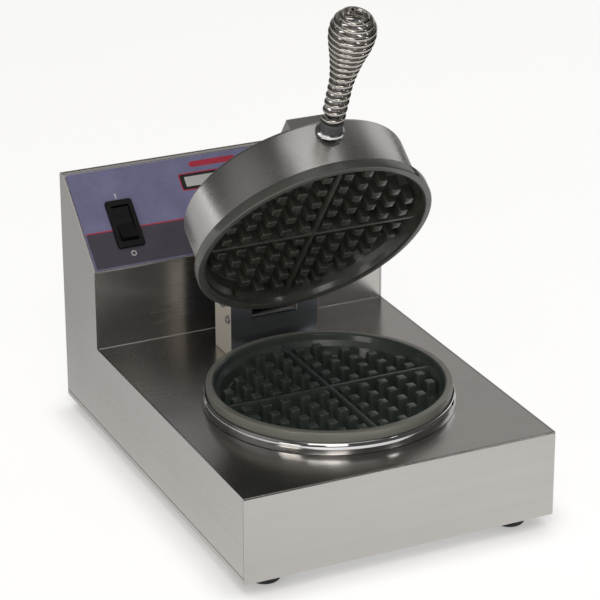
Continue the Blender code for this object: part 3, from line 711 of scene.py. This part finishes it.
def make_shell():
    cover = prism(folded(filleted(sheet_path(), steps=5), SHEET), -SIDE_X, SIDE_X)
    for s in (-1, 1):
        low, high = sorted((s * (SIDE_X - HEM), s * (SIDE_X + PAST)))
        cover = combined(cover, box((low, HEM, -PAST), (high, DEPTH + PAST, CREST_Z + PAST)))
    opening = prism(disc(PLATE_HOLE, count=ROUND), DECK_Z - PAST, DECK_Z + PAST, "xy")
    cover = combined(cover, placed(opening, (0, PLATE_Y, 0)))
    cover = combined(cover, slope_cutter(switch_hole(6)))
    cover = combined(cover, slope_cutter(lamp_hole(6)))
    piece("main_cover", cover, SHELL, SHEET_X, edge=0.3, grain="x")

    for name, s in (("left", -1), ("right", 1)):
        web = filleted([(HEM, 0), (DEPTH - HEM, 0), (DEPTH - HEM, CREST_Z), (CREST_Y, CREST_Z),
                        (RISER_Y, RISER_Z), (RISER_Y, DECK_Z), (HEM, DECK_Z)], 0.5, 3, closed=True)
        inner, outer = sorted((s * (SIDE_X - SHEET), s * SIDE_X))
        panel = prism(web, inner, outer)
        low, high = sorted((s * (SIDE_X - FLANGE), s * (SIDE_X - SHEET / 2)))
        lower_flange = box((low, 13, 0), (high, DEPTH - 14, SHEET))
        low, high = sorted((s * (SIDE_X - 14), s * (SIDE_X - SHEET / 2)))
        rear_flange = box((low, DEPTH - HEM - SHEET, 16), (high, DEPTH - HEM, CREST_Z - 20))
        low, high = sorted((s * (SIDE_X - 0.35), s * (SIDE_X + 1)))
        groove = box((low, -PAST, 4.2), (high, DEPTH + PAST, 4.9))
        panel = combined(combined(panel, lower_flange, "UNION"), rear_flange, "UNION")
        piece("side_panel_" + name, combined(panel, groove), SHELL, SHEET_Y, edge=0.25, grain="y")

    middle = CREST_Z / 2
    panel = prism(rounded_rectangle(SIDE_X, middle, 1.0, (0, middle), 3), DEPTH - SHEET, DEPTH, "xz")
    screws = [(s * REAR_SCREW_X, z) for s in (-1, 1) for z in REAR_SCREW_Z]
    holes = [through_rear(rounded_rectangle(*VENT, VENT[1] - 0.01, (0, VENT_Z + VENT_STEP * i)))
             for i in range(VENTS)]
    holes += [through_rear(disc(SCREW_HOLE, screw, 24)) for screw in screws]
    holes.append(through_rear(disc(GLAND_HOLE, (GLAND_X, GLAND_Z))))
    piece("rear_panel", combined(panel, gathered(holes)), SHELL, SHEET_X, edge=0.25, grain="x")
    for number, (x, z) in enumerate(screws, 1):
        head = placed(screw_shape(3.6, 2.0, 8.0), (x, DEPTH + GAP, z), turn_x=-90)
        piece(f"rear_screw_{number}", head, SHELL, ZINC)
    dress("bottom_pan", PAN_LOOK)


def make_feet():
    profile = filleted([(2.9, -FOOT_RECESS), (5.8, -FOOT_RECESS), (5.8, -10), (10.5, -10, 0.8),
                        (11.9, -8.8, 1.0), (12.5, -GAP, 0.5), (2.9, -GAP)])
    for node in frame["nodes"]:
        if node.startswith("foot_screw_"):
            low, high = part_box(node)
            centre = (SHELL.inverted() @ ((low + high) / 2)) / MM
            shape = placed(screw_shape(4.8, 2.4, 13), (centre.x, centre.y, -FOOT_RECESS - GAP), turn_x=180)
            piece(node, shape, SHELL, ZINC)
            foot = placed(turned(profile, 64), (centre.x, centre.y, 0))
            piece(node.replace("screw_", ""), foot, SHELL, RUBBER)


def printed(half_x, half_y, radius, centre, look, layers=1):
    """One blank printed field of the overlay, a few layers of ink above the film."""
    outline = rounded_rectangle(half_x, half_y, radius, centre)
    return prism(outline, FILM_TOP, FILM_TOP + INK * layers, "xy"), look


def print_shapes():
    """The overlay's fields: two bands, a framed bar, a short bar, and the on and off marks."""
    wide = FILM_X - 0.9
    bar = (0.0, 67.0)
    ink_top = FILM_TOP + 2 * INK
    ring = turned([(1.5, FILM_TOP), (2.4, FILM_TOP), (2.4, ink_top), (1.5, ink_top)], 40)
    return [
        printed(wide, 15.9, 0.9, (0, 17.9), CHARCOAL),
        printed(wide, 0.55, 0.4, (0, 34.3), RED),
        printed(33.6, 8.0, 2.0, bar, RED),
        printed(21.0, 2.7, 2.6, (0, 82.4), RED),
        printed(32.6, 7.0, 1.4, bar, BLACK_INK, 2),
        printed(29.0, 4.6, 0.8, bar, WHITE, 3),
        printed(0.7, 2.4, 0.4, (-CONTROL_X, 64.6), WHITE),
        (placed(ring, (-CONTROL_X, 11.4, 0)), WHITE),
    ]


def make_controls():
    film = prism(rounded_rectangle(FILM_X, (SLOPE_LENGTH - 2.5) / 2, 1.2, (0, (SLOPE_LENGTH + 0.1) / 2)),
                 GAP, FILM_TOP, "xy")
    layers = []
    for shape, look in [(film, VIOLET)] + print_shapes():
        if look in (VIOLET, CHARCOAL, RED):
            shape = combined(combined(shape, switch_hole(3)), lamp_hole(3))
        layers.append((shape, look))
    piece("control_overlay", layers, SLOPE, VIOLET)

    low, top = FILM_TOP + GAP, 3.6
    x, y = switch = (-CONTROL_X, CONTROL_S)
    levels = ((low, 0.0), (top - 1.0, 0.0), (top - 0.55, 0.12), (top - 0.2, 0.4), (top, 0.95))
    housing = lofted([[(*point, z) for point in rounded_rectangle(11.8 - inset, 21.7 - inset, 2.4, switch)]
                      for z, inset in levels])
    housing = combined(housing, box((x - 9.4, y - 19.0, -24), (x + 9.4, y + 19.0, 1.5)), "UNION")
    well = prism(rounded_rectangle(7.7, 16.3, 0.8, switch), -11, top + 3, "xy")
    piece("switch_housing", combined(housing, well), SLOPE, GLOSS, edge=0.25, facets=3)

    half, bend = 15.23, 0.012
    crown = []
    for i in range(1, 24):
        y = 15.0 - 30.0 * i / 24
        lift = (sqrt((y / half) ** 2 + bend) - sqrt(bend)) / (1.0 - sqrt(bend))
        crown.append((y, 3.05 + 2.35 * lift))
    side = filleted([(half, 5.3, 0.9)] + crown + [(-half, 5.3, 0.9), (-15.7, -1.5, 1.0), (-6, -6.5, 1.0),
                                                  (6, -6.5, 1.0), (15.7, -1.5, 1.0)], closed=True)
    trunnion = placed(prism(disc(1.25, count=24), -8.3, 8.3, "xy"), turn_y=90)
    rocker = combined(prism(side, -7.35, 7.35), trunnion, "UNION")
    piece("switch_rocker", rocker, ROCKER, GLOSS, edge=0.5, facets=3)

    lamp = (CONTROL_X, CONTROL_S, 0)
    bezel = filleted([(4.3, -6), (4.3, 3.0, 0.3), (6.6, 3.0, 0.8), (7.8, 2.0, 0.6), (7.8, 1.1), (5.6, 1.1),
                      (5.6, -16), (2.0, -16), (2.0, -6)])
    piece("lamp_bezel", placed(turned(bezel, 64), lamp), SLOPE, GLOSS)
    dome = [(3.9 * cos(a), 2.6 + 2.4 * sin(a)) for a in (radians(10 * k) for k in range(9))]
    lens = turned([(0, -5.5), (3.9, -5.5)] + dome + [(0, 5.0)], 48)
    piece("lamp_lens", placed(lens, lamp), SLOPE, AMBER)


def make_rear_fittings():
    at = (GLAND_X, DEPTH, GLAND_Z)
    body = filleted([(4.2, 8.0, 0.6), (10.5, 8.0, 1.5), (12.8, 4.0, 1.0), (12.8, GAP), (8.8, GAP),
                     (8.8, -17), (4.2, -17)])
    piece("cord_gland", placed(turned(body, 64), at, turn_x=-90), SHELL, SATIN)
    dress("gland_nut", SATIN, 0.3)
    dress("terminal_block", CERAMIC_LOOK, 0.3)


# ----------------------------------------------------------------------- grids

def pin_shape(x, y):
    """A tapered post with rounded edges and a flared foot sunk in the pocket's floor."""
    rings = []
    for z, half, corner in ((-19.4, 5.5, 1.7), (-18.2, 5.15, 1.5), (-17.4, 4.85, 1.4), (-16.2, 4.6, 1.3),
                            (-6.5, 3.68, 1.0), (-6.0, 3.55, 1.0), (-5.65, 3.28, 0.9), (-5.5, 2.9, 0.8)):
        rings.append([(px, py, z) for px, py in rounded_rectangle(half, half, corner, (x, y), 3)])
    return lofted(rings)


def rib_shape(across):
    """One bar of the cross, with sloping flanks and a rounded back, sunk a little in the pocket's floor."""
    foot = -19.6
    section = filleted([(-3.9, foot), (-1.25, -PIN_DROP, 0.9), (1.25, -PIN_DROP, 0.9), (3.9, foot)])
    rings = []
    for end in (-1, 1):
        rings.append([(end * (86.0 + 3.4 * (z - foot) / 14.1), w, z) for w, z in section])
    bar = lofted(rings)
    if across:
        # A hair higher, so that no two faces of the cross lie in one plane
        bmesh.ops.rotate(bar, cent=(0, 0, 0), matrix=Matrix.Rotation(pi / 2, 3, "Z"), verts=bar.verts)
        bmesh.ops.translate(bar, vec=(0, 0, 0.04), verts=bar.verts)
    return bar


def grid_shape():
    """The casting of both grids, rim plane at Z 0, pins up."""
    profile = filleted([(0, -CASTING_HEIGHT), (88.9, -CASTING_HEIGHT, 1.0), (88.9, -8.6, 0.6),
                        (96.5, -8.6, 0.9), (96.5, -0.8, 1.0), (95.7, 0, 0.9), (91.4, 0, 0.9),
                        (90.0, -1.2, 0.9), (88.7, -PIN_DROP, 1.5), (86.0, -10, 3.0),
                        (83.5, -POCKET_DEPTH, 1.6), (0, -POCKET_DEPTH)], steps=3)
    steps = [PIN_FIRST + PIN_PITCH * i for i in range(5)]
    centres = [(i * x, j * y) for x in steps for y in steps if hypot(x, y) <= PIN_REACH
               for i in (-1, 1) for j in (-1, 1)]
    casting = combined(turned(profile), gathered([pin_shape(*c) for c in centres]), "UNION")
    for across in (False, True):
        casting = combined(casting, rib_shape(across), "UNION")
    for s in (-1, 1):
        stud = prism(disc(SCREW_HOLE, (s * STUD_X, 0), 24), -CASTING_HEIGHT - STUD_DEPTH,
                     -CASTING_HEIGHT + STUD_DEPTH, "xy")
        casting = combined(casting, stud)
    return casting


def make_grids():
    shape = grid_shape()
    piece("lower_grid", shape.copy(), LOWER, LIT_CAST_LOWER, sharp=40)
    piece("upper_grid", shape, UPPER, SHADED_CAST_UPPER, sharp=40)
    ring = filleted([(97.0, DECK_Z + GAP), (99.5, DECK_Z + GAP, 0.3), (99.6, 75.4, 3.0), (99.1, 78.0, 2.5),
                     (98.0, 79.7, 1.2), (97.3, 80.1, 0.3), (97.0, 79.6)], steps=5)
    piece("trim_ring", placed(turned(ring, FINE_ROUND), (0, PLATE_Y, 0)), SHELL, CHROME)
    for node, look in (("element", ELEMENT_LOOK), ("insulation", WOOL), ("heat_shield", PAN_LOOK),
                       ("shield_screw_left", ZINC), ("shield_screw_right", ZINC)):
        dress("lower_" + node, look)
        dress("upper_" + node, look)
    dress("thermostat", LUG_SHADE_LOOK)


# ---------------------------------------------------------------- hinge and lid

def make_bracket():
    low = DECK_Z + GAP
    front, rear = BRACKET_Y
    inside = BRACKET_X - BRACKET_SHEET
    shape = box((-BRACKET_X, front, low), (BRACKET_X, rear, BRACKET_TOP))
    shape = combined(shape, box((-inside, front + BRACKET_SHEET, low + BRACKET_SHEET),
                                (inside, rear + PAST, BRACKET_TOP + PAST)))
    notch = filleted([(-NOTCH_X, NOTCH_Z, 1.5), (NOTCH_X, NOTCH_Z, 1.5), (NOTCH_X, 140), (-NOTCH_X, 140)],
                     closed=True)
    shape = combined(shape, prism(notch, front - PAST, front + PAST, "xz"))
    for centre, radius in (((HINGE_Y, HINGE_Z), PIN_BORE), ((STOP_Y, STOP_Z), SCREW_HOLE)):
        shape = combined(shape, prism(disc(radius, centre, 40), -BRACKET_X - PAST, BRACKET_X + PAST, "yz"))
    bracket = piece("hinge_bracket", shape, SHELL, SHADED_BRACKET_LOOK, edge=0.8, facets=3, grain="x")
    bracket.data.materials.append(LIT_FLANGE_LOOK.material)
    for face in bracket.data.polygons:
        if abs(face.normal.x) > 0.9:        # the two flanges, which take the pale painted-light copy
            face.material_index = 1
    clip = filleted([(PIN_BORE, 0), (7.0, 0, 0.3), (7.0, 1.2, 0.4), (PIN_BORE, 1.2, 0.2)])
    long = inside - LUG_X - 2 * GAP
    sleeve = filleted([(PIN_BORE, 0), (7.5, 0, 0.5), (7.5, long, 0.5), (PIN_BORE, long)])
    for name, s in (("left", -1), ("right", 1)):
        head = placed(screw_shape(3.4, 2.0, 2.15), (s * (BRACKET_X + GAP), STOP_Y, STOP_Z), turn_y=s * 90)
        piece(f"stop_screw_{name}", head, SHELL, ZINC)
        ring = placed(turned(clip, 48), (s * (BRACKET_X + GAP), HINGE_Y, HINGE_Z), turn_y=s * 90)
        piece(f"pin_clip_{name}", ring, SHELL, ZINC)
        spacer = placed(turned(sleeve, 48), (s * (LUG_X + GAP), HINGE_Y, HINGE_Z), turn_y=s * 90)
        piece(f"hinge_spacer_{name}", spacer, SHELL, BRASS_LOOK)
        dress(f"bracket_screw_{name}", ZINC)
    end = BRACKET_X + 3.5
    pin = filleted([(0, -end), (PIN_RADIUS, -end, 0.9), (PIN_RADIUS, end, 0.9), (0, end)])
    piece("hinge_pin", placed(turned(pin, 48), (0, HINGE_Y, HINGE_Z), turn_y=90), SHELL, ZINC)
    end = inside - GAP
    bar = filleted([(0, -end), (2.4, -end, 0.3), (2.4, end, 0.3), (0, end)])
    piece("lid_stop_bar", placed(turned(bar, 40), (0, STOP_Y, STOP_Z), turn_y=90), SHELL, ZINC)


def make_lid():
    top = DRUM_TOP
    inner = DRUM_RADIUS - SHEET
    outline = filleted([(0, top), (DRUM_RADIUS, top, 3.0), (DRUM_RADIUS, DRUM_BOTTOM + GAP, 0.4),
                        (inner, DRUM_BOTTOM + GAP, 0.4), (inner, top - SHEET, 1.8), (0, top - SHEET)],
                       steps=5)
    drum = turned(outline, FINE_ROUND)
    bore = placed(prism(disc(ROD_HOLE, count=32), -12, 12, "xy"), (0, -DRUM_RADIUS, LID_RIM_Z + HANDLE_OFF),
                  turn_x=90 - HANDLE_TILT)
    drum = combined(drum, bore)
    for y in ARM_SCREWS.values():
        drum = combined(drum, prism(disc(SCREW_HOLE, (0, y - LID_Y), 24), top - 6, top + 6, "xy"))
    piece("upper_housing", drum, DRUM, SHEET_RING, grain="ring")

    lug_low = top + GAP
    lug_high = lug_low + LUG_HEIGHT
    side = filleted([(-100, lug_low), (-100, lug_high, 1.0), (-6, lug_high, 3.0), (11, 14, 3.0),
                     (13, -6, 3.0), (8.8, -16.7, 1.2), (4.0, -13.1, 1.2), (-6, -9, 3.0), (-26, 12, 2.0),
                     (-26, lug_low)], closed=True)
    lug = combined(prism(side, -LUG_X, LUG_X),
                   prism(disc(PIN_BORE, count=40), -LUG_X - PAST, LUG_X + PAST, "yz"))
    for y in ARM_SCREWS.values():
        lug = combined(lug, prism(disc(ARM_SCREW_HOLE, (0, y), 24), lug_low - 6, lug_high + 6, "xy"))
    piece("hinge_lug", lug, LID, LUG_SHADE_LOOK, edge=0.7)

    cover_top = lug_high + GAP + SHEET
    inner = COVER_X - SHEET
    cover = box((-COVER_X, COVER_FRONT, lug_low), (COVER_X, COVER_REAR, cover_top))
    cover = combined(cover, box((-inner, COVER_FRONT + SHEET, lug_low - PAST),
                                (inner, COVER_REAR + 2 * PAST, cover_top - SHEET)))
    for y in ARM_SCREWS.values():
        cover = combined(cover, prism(disc(ARM_SCREW_HOLE, (0, y), 24), cover_top - 4, cover_top + 4, "xy"))
    piece("arm_cover", cover, LID, COVER_LOOK, edge=1.1, facets=4, grain="x")
    for name, y in ARM_SCREWS.items():
        head = placed(screw_shape(4.6, 2.2, 15.5), (0, y, cover_top + GAP))
        piece(f"arm_screw_{name}", head, LID, ZINC)


# ---------------------------------------------------------------------- handle

def coil_radius(t):
    """Radius of the wire's centre line at a share t of the coil's length."""
    for (t0, r0), (t1, r1) in zip(COIL_STATIONS, COIL_STATIONS[1:]):
        if t <= t1:
            return r0 + (r1 - r0) * (t - t0) / (t1 - t0)
    return COIL_STATIONS[-1][1]


def coil_path(low, high, per_turn):
    """Points along the wire, on a smoothed profile, with its turns wide apart below and close at the tip."""
    steps = 400
    profile = []
    for i in range(steps + 1):
        t = i / steps
        blur = min(0.02, t, 1 - t)
        radius = (coil_radius(t - blur) + 2 * coil_radius(t) + coil_radius(t + blur)) / 4
        profile.append((radius, low + (high - low) * t))
    turns = [0.0]
    for (r0, z0), (r1, z1) in zip(profile, profile[1:]):
        share = (z0 - low) / (high - low)
        pitch = WIDE_PITCH - (WIDE_PITCH - CLOSE_PITCH) * min(1.0, share / CLOSE_FROM)
        turns.append(turns[-1] + hypot(r1 - r0, z1 - z0) / pitch)
    count = int(turns[-1] * per_turn)
    path = []
    k = 0
    for i in range(count + 1):
        want = turns[-1] * i / count
        while k < steps - 1 and turns[k + 1] < want:
            k += 1
        u = (want - turns[k]) / (turns[k + 1] - turns[k])
        radius = profile[k][0] + (profile[k + 1][0] - profile[k][0]) * u
        z = profile[k][1] + (profile[k + 1][1] - profile[k][1]) * u
        angle = 2 * pi * want + radians(COIL_START)
        path.append((radius * cos(angle), radius * sin(angle), z))
    return path


def seated(bm, below):
    """Drops the lowest ring of a sleeve onto the drum's round wall."""
    lean = radians(90 - HANDLE_TILT)
    for vertex in bm.verts:
        if vertex.co.z < below:
            x, y = vertex.co.x, vertex.co.y
            wall = sqrt(DRUM_RADIUS ** 2 - x ** 2) - DRUM_RADIUS
            vertex.co.z = (wall + GAP - y * cos(lean)) / sin(lean)
    return bm


def make_handle():
    bore = STUB_RADIUS + GAP
    collar = filleted([(bore, -6), (COLLAR_RADIUS, -6), (COLLAR_RADIUS, 2.2, 0.9),
                       (COLLAR_RADIUS - 0.7, 4.5, 0.8), (bore, 4.8, 0.3)], steps=5)
    piece("handle_collar", seated(turned(collar, 96), -5), HANDLE, CHROME)
    stub = filleted([(3.4, -5), (STUB_RADIUS, -5), (STUB_RADIUS, STUB_TOP, 1.2), (3.4, STUB_TOP, 0.4)],
                    steps=5)
    piece("handle_stub", seated(turned(stub, 96), -4), HANDLE, STUB_LOOK)
    rod_top = HANDLE_LENGTH - 8
    rod = filleted([(0, -12), (ROD_RADIUS, -12, 0.5), (ROD_RADIUS, rod_top, 0.8), (0, rod_top)])
    piece("handle_rod", turned(rod, 32), HANDLE, ZINC)
    dress("handle_lock_nut", ZINC)
    path = coil_path(STUB_TOP + GAP + WIRE / 2 + 0.2, HANDLE_LENGTH - WIRE / 2, 32)
    piece("handle_coil", tube(path, WIRE / 2, 14), HANDLE, NICKEL, sharp=60)


# --------------------------------------------------------- floor, light, camera

FLOOR_SIZE = 12.0

# name: azimuth, elevation, distance, width, height, radiance, colour
SOFTBOXES = {
    "top": (165, 81, 1.9, 1.3, 1.1, 0.68, (1.0, 1.0, 1.0)),
    "fill": (-150, 46, 2.2, 0.9, 0.8, 2.0, (1.0, 0.98, 0.95)),
    "front": (198, 38, 2.4, 0.7, 1.0, 1.6, (1.0, 0.96, 0.91)),
    "left": (-122, 12, 2.0, 0.6, 0.5, 2.6, (1.0, 0.96, 0.90)),
    "right": (68, 18, 1.9, 0.8, 1.0, 0.45, (0.97, 0.98, 1.0)),
    "spark": (140, 40, 2.2, 0.22, 0.22, 6.0, (1.0, 1.0, 1.0)),
}

# The room: an even dim level, and soft pale patches: azimuth, elevation, inner and outer angle, radiance
ROOM_LEVEL = 0.07
ROOM_PATCHES = ((40, 18, 8, 48, 0.40), (-85, 30, 8, 30, 0.15))


def make_stage():
    bm = bmesh.new()
    bmesh.ops.create_grid(bm, x_segments=8, y_segments=8, size=FLOOR_SIZE)
    mesh = bpy.data.meshes.new("floor")
    bm.to_mesh(mesh)
    bm.free()
    floor = bpy.data.objects.new("floor", mesh)
    bpy.context.scene.collection.objects.link(floor)
    floor.location.z = CAD_BOX[0].z
    look = Look("pale_floor", None, 0.9, Emission_Color=(1.0, 0.995, 0.985, 1.0), Specular_IOR_Level=0.0)
    look.feed("Base Color", look.ramp(look.noise((3.0, 3.0, 3.0)), (0.3, (0.50,) * 3), (0.7, (0.52,) * 3)))
    # Bright in front, duller to the left and behind; white with a soft contact shadow where it is seen
    slant, left = [look.add("ShaderNodeVectorMath", {0: look.space, 1: way}, operation="DOT_PRODUCT")
                   for way in ((0.75, -0.60, 0.0), (-0.25, 0.0, 0.0))]
    lit = look.total(look.spread(slant.outputs["Value"], 0.25, 0.70, -0.45, 0.25), left.outputs["Value"])
    near = look.add("ShaderNodeAmbientOcclusion", {"Distance": 0.035})
    near.samples = 8
    seen = look.spread(near.outputs["AO"], 0.36, 0.84, 0.30, 0.92)
    ray = look.add("ShaderNodeLightPath").outputs["Is Camera Ray"]
    glow = look.add("ShaderNodeMix", {0: ray, 2: lit, 3: seen}, data_type="FLOAT")
    look.feed("Emission Strength", glow.outputs[0])
    mesh.materials.append(look.material)


def compass(azimuth, elevation):
    """A direction. Azimuth is from +Y towards +X; both angles in degrees."""
    a, e = radians(azimuth), radians(elevation)
    return Vector((sin(a) * cos(e), cos(a) * cos(e), sin(e)))


def softbox(name, azimuth, elevation, distance, width, height, radiance, colour):
    """An area light aimed at the object."""
    out = compass(azimuth, elevation)
    light = bpy.data.lights.new(name, "AREA")
    light.shape = "RECTANGLE"
    light.size = width
    light.size_y = height
    light.energy = radiance * pi * width * height
    light.color = colour
    obj = bpy.data.objects.new(name, light)
    bpy.context.scene.collection.objects.link(obj)
    obj.location = Vector((0, 0, 0.2)) + out * distance
    obj.rotation_mode = "QUATERNION"
    obj.rotation_quaternion = out.to_track_quat("Z", "Y")


def make_light():
    for name, values in SOFTBOXES.items():
        softbox(name, *values)
    world = bpy.data.worlds.new("studio")
    bpy.context.scene.world = world
    world.use_nodes = True
    nodes, links = world.node_tree.nodes, world.node_tree.links
    facing = nodes.new("ShaderNodeTexCoord").outputs["Generated"]
    level = None
    for azimuth, elevation, inner, outer, radiance in ROOM_PATCHES:
        dot = nodes.new("ShaderNodeVectorMath")
        dot.operation = "DOT_PRODUCT"
        links.new(facing, dot.inputs[0])
        dot.inputs[1].default_value = compass(azimuth, elevation)
        fade = nodes.new("ShaderNodeMapRange")
        fade.interpolation_type = "SMOOTHSTEP"
        links.new(dot.outputs["Value"], fade.inputs["Value"])
        fade.inputs["From Min"].default_value = cos(radians(outer))
        fade.inputs["From Max"].default_value = cos(radians(inner))
        fade.inputs["To Min"].default_value = 0.0 if level else ROOM_LEVEL
        fade.inputs["To Max"].default_value = radiance
        if level:
            total = nodes.new("ShaderNodeMath")
            links.new(fade.outputs[0], total.inputs[0])
            links.new(level, total.inputs[1])
            level = total.outputs[0]
        else:
            level = fade.outputs[0]
    back = nodes["Background"]
    back.inputs["Color"].default_value = (1.0, 0.97, 0.95, 1.0)
    links.new(level, back.inputs["Strength"])


def make_camera():
    data = bpy.data.cameras.new("camera")
    data.lens = 154.24
    data.sensor_width = 36.0
    data.shift_x = -0.0167
    data.shift_y = -0.0685
    data.clip_start = 0.1
    data.clip_end = 60.0
    camera = bpy.data.objects.new("camera", data)
    bpy.context.scene.collection.objects.link(camera)
    camera.location = (-0.7943, -1.7022, 0.9384)
    camera.rotation_euler = (radians(67.929), radians(0.08), radians(-25.393))
    bpy.context.scene.camera = camera
    bpy.context.scene.view_settings.view_transform = "Standard"


make_shell()
make_feet()
make_controls()
make_rear_fittings()
make_grids()
make_bracket()
make_lid()
make_handle()
make_stage()
make_light()
make_camera()
